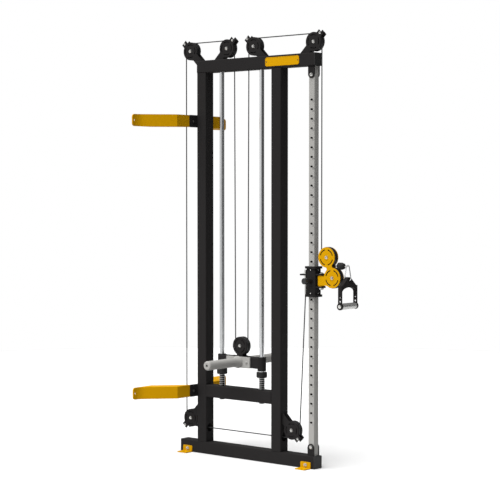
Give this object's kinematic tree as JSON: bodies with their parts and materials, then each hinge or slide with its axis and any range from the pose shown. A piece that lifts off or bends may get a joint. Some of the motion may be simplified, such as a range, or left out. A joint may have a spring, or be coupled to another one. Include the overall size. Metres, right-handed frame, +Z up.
{
  "type": "wall pulley column",
  "caption": "Plate-loaded cable column: a steel frame with a weight carriage on guide rods and a height-adjustable swivel pulley with a stirrup handle.",
  "frame": {"origin": "on the floor under the middle of the bay between the two uprights, at the middle of the frame tubes depth", "axes": "+X along the base and top beams towards the adjustment column, +Y to the rear, +Z up"},
  "size_m": [1.1987, 0.776, 2.3078],
  "materials": {
    "black_paint": "textured black powder coat",
    "black_satin": "satin black",
    "black_plastic": "matt moulded plastic",
    "knob_plastic": "moulded knob on a steel pin",
    "yellow_paint": "satin yellow powder coat",
    "yellow_plate": "smooth yellow enamel, bare",
    "silver_paint": "fine silver-grey powder coat",
    "polished_steel": "polished",
    "zinc_steel": "bright zinc",
    "spring_steel": "drawn wire",
    "coated_cable": "grey-black plastic coat over steel strand",
    "wheel_plastic": "black nylon with a steel bearing",
    "rubber": "moulded rubber",
    "white_nylon": "natural nylon"
  },
  "bodies": {
    "frame": {"base_beam": "black_paint", "left_upright": "black_paint", "right_upright": "black_paint", "low_crossbeam": "black_paint", "top_beam": "black_paint", "beam_end_caps": "black_plastic", "floor_brackets": "yellow_paint", "adjustment_column": "silver_paint", "column_lugs": "black_paint", "guide_rods": "polished_steel", "rack_tabs": "black_paint", "upper_rack_arms": "yellow_paint", "lower_rack_arms": "yellow_paint", "frame_bolts": "zinc_steel", "name_plate": "yellow_plate", "top_pulley_brackets": "black_paint", "bottom_pulley_brackets": "black_paint", "pulley_bolts": "zinc_steel", "frame_cable": "coated_cable", "lift_cables": "coated_cable", "column_cable_upper": "coated_cable", "column_cable_lower": "coated_cable", "buffer_spring_left": "spring_steel", "buffer_spring_right": "spring_steel"},
    "top_pulley_1": {"top_wheel_1": "wheel_plastic"},
    "top_pulley_2": {"top_wheel_2": "wheel_plastic"},
    "top_pulley_3": {"top_wheel_3": "wheel_plastic"},
    "top_pulley_4": {"top_wheel_4": "wheel_plastic"},
    "low_pulley_left": {"bottom_wheel_left": "wheel_plastic"},
    "low_pulley_right": {"bottom_wheel_right": "wheel_plastic"},
    "carriage": {"carriage_crossbar": "black_paint", "guide_sleeves": "black_paint", "guide_bushes": "polished_steel", "front_plate_horn": "silver_paint", "rear_plate_horn": "silver_paint", "carriage_bolts": "zinc_steel", "carriage_pulley_bracket": "black_paint", "carriage_cable": "coated_cable"},
    "carriage_pulley": {"carriage_wheel": "wheel_plastic"},
    "pad_left": {"buffer_pad_left": "rubber"},
    "pad_right": {"buffer_pad_right": "rubber"},
    "trolley": {"trolley_housing": "black_satin", "trolley_liners": "white_nylon", "trolley_screws": "zinc_steel", "cable_anchor": "zinc_steel", "swivel_pin": "zinc_steel"},
    "locking_pin": {"lock_pin": "knob_plastic"},
    "block": {"swivel_block": "yellow_paint", "block_bolts": "zinc_steel", "block_cable": "coated_cable"},
    "block_pulley_upper": {"block_wheel_upper": "wheel_plastic"},
    "block_pulley_lower": {"block_wheel_lower": "wheel_plastic"},
    "cable_end": {"cable_stopper": "rubber", "cable_eye": "zinc_steel"},
    "hook": {"carabiner": "polished_steel"},
    "hook_gate": {"carabiner_gate": "polished_steel"},
    "handle": {"handle_frame": "black_satin", "handle_axle": "zinc_steel"},
    "grip": {"handle_grip": "polished_steel"}
  },
  "joints": [
    {"name": "carriage_slide", "type": "slide", "parent": "frame", "child": "carriage", "axis": [0, 0, 1], "range_m": [0, 1.4], "deforming": ["lift_cables"]},
    {"name": "trolley_slide", "type": "slide", "parent": "frame", "child": "trolley", "axis": [0, 0, 1], "range_m": [-0.7, 0.95], "deforming": ["column_cable_upper", "column_cable_lower"]},
    {"name": "lock_pin_slide", "type": "slide", "parent": "trolley", "child": "locking_pin", "axis": [0, 1, 0], "range_m": [0, 0.008]},
    {"name": "block_swivel", "type": "hinge", "parent": "trolley", "child": "block", "pos_m": [0.549, 0, 0.995], "axis": [0, 0, 1], "range_deg": [-80, 80]},
    {"name": "top_pulley_1_spin", "type": "hinge", "parent": "frame", "child": "top_pulley_1", "pos_m": [-0.363, 0, 2.247], "axis": [0, 1, 0], "continuous": true},
    {"name": "top_pulley_2_spin", "type": "hinge", "parent": "frame", "child": "top_pulley_2", "pos_m": [-0.0955, 0, 2.247], "axis": [0, 1, 0], "continuous": true},
    {"name": "top_pulley_3_spin", "type": "hinge", "parent": "frame", "child": "top_pulley_3", "pos_m": [0.0955, 0, 2.247], "axis": [0, 1, 0], "continuous": true},
    {"name": "top_pulley_4_spin", "type": "hinge", "parent": "frame", "child": "top_pulley_4", "pos_m": [0.505, 0, 2.247], "axis": [0, 1, 0], "continuous": true},
    {"name": "low_pulley_left_spin", "type": "hinge", "parent": "frame", "child": "low_pulley_left", "pos_m": [-0.363, 0, 0.189], "axis": [0, 1, 0], "continuous": true},
    {"name": "low_pulley_right_spin", "type": "hinge", "parent": "frame", "child": "low_pulley_right", "pos_m": [0.361, 0, 0.189], "axis": [0, 1, 0], "continuous": true},
    {"name": "carriage_pulley_spin", "type": "hinge", "parent": "carriage", "child": "carriage_pulley", "pos_m": [0, 0, 0.6185], "axis": [0, 1, 0], "continuous": true},
    {"name": "block_pulley_upper_spin", "type": "hinge", "parent": "block", "child": "block_pulley_upper", "pos_m": [0.593, 0, 1.11934], "axis": [0, 1, 0], "continuous": true},
    {"name": "block_pulley_lower_spin", "type": "hinge", "parent": "block", "child": "block_pulley_lower", "pos_m": [0.62979, 0, 1.0125], "axis": [0, 1, 0], "continuous": true},
    {"name": "pad_left_press", "type": "slide", "parent": "frame", "child": "pad_left", "axis": [0, 0, 1], "range_m": [-0.02, 0], "stiffness_N_per_m": 4000, "springref_m": 0.015, "deforming": ["buffer_spring_left"]},
    {"name": "pad_right_press", "type": "slide", "parent": "frame", "child": "pad_right", "axis": [0, 0, 1], "range_m": [-0.02, 0], "stiffness_N_per_m": 4000, "springref_m": 0.015, "deforming": ["buffer_spring_right"]},
    {"name": "handle_pull", "type": "slide", "parent": "block", "child": "cable_end", "axis": [1, 0, 0], "range_m": [0, 2.8]},
    {"name": "carabiner_swing", "type": "hinge", "parent": "cable_end", "child": "hook", "pos_m": [0.71979, 0, 1.07534], "axis": [0, 1, 0], "range_deg": [-95, 6]},
    {"name": "gate_open", "type": "hinge", "parent": "hook", "child": "hook_gate", "pos_m": [0.73738, 0, 1.02377], "axis": [0, 1, 0], "range_deg": [-18, 0], "stiffness_Nm_per_rad": 0.05, "springref_deg": 11.46},
    {"name": "handle_swing", "type": "hinge", "parent": "hook", "child": "handle", "pos_m": [0.71979, 0, 1.00214], "axis": [1, 0, 0], "range_deg": [-60, 60]},
    {"name": "grip_spin", "type": "hinge", "parent": "handle", "child": "grip", "pos_m": [0.71979, 0, 0.86994], "axis": [0, 1, 0], "continuous": true}
  ],
  "couplings": [
    {"joint": "handle_pull", "follows": "carriage_slide", "ratio": 2},
    {"joint": "top_pulley_3_spin", "follows": "carriage_slide", "rad_per_m": 45.455},
    {"joint": "top_pulley_4_spin", "follows": "carriage_slide", "rad_per_m": 45.455},
    {"joint": "carriage_pulley_spin", "follows": "carriage_slide", "rad_per_m": -22.727},
    {"joint": "block_pulley_upper_spin", "follows": "carriage_slide", "rad_per_m": -45.455},
    {"joint": "top_pulley_1_spin", "follows": "trolley_slide", "rad_per_m": -22.727},
    {"joint": "top_pulley_2_spin", "follows": "trolley_slide", "rad_per_m": -22.727},
    {"joint": "low_pulley_left_spin", "follows": "trolley_slide", "rad_per_m": -22.727},
    {"joint": "low_pulley_right_spin", "follows": "trolley_slide", "rad_per_m": -22.727}
  ]
}
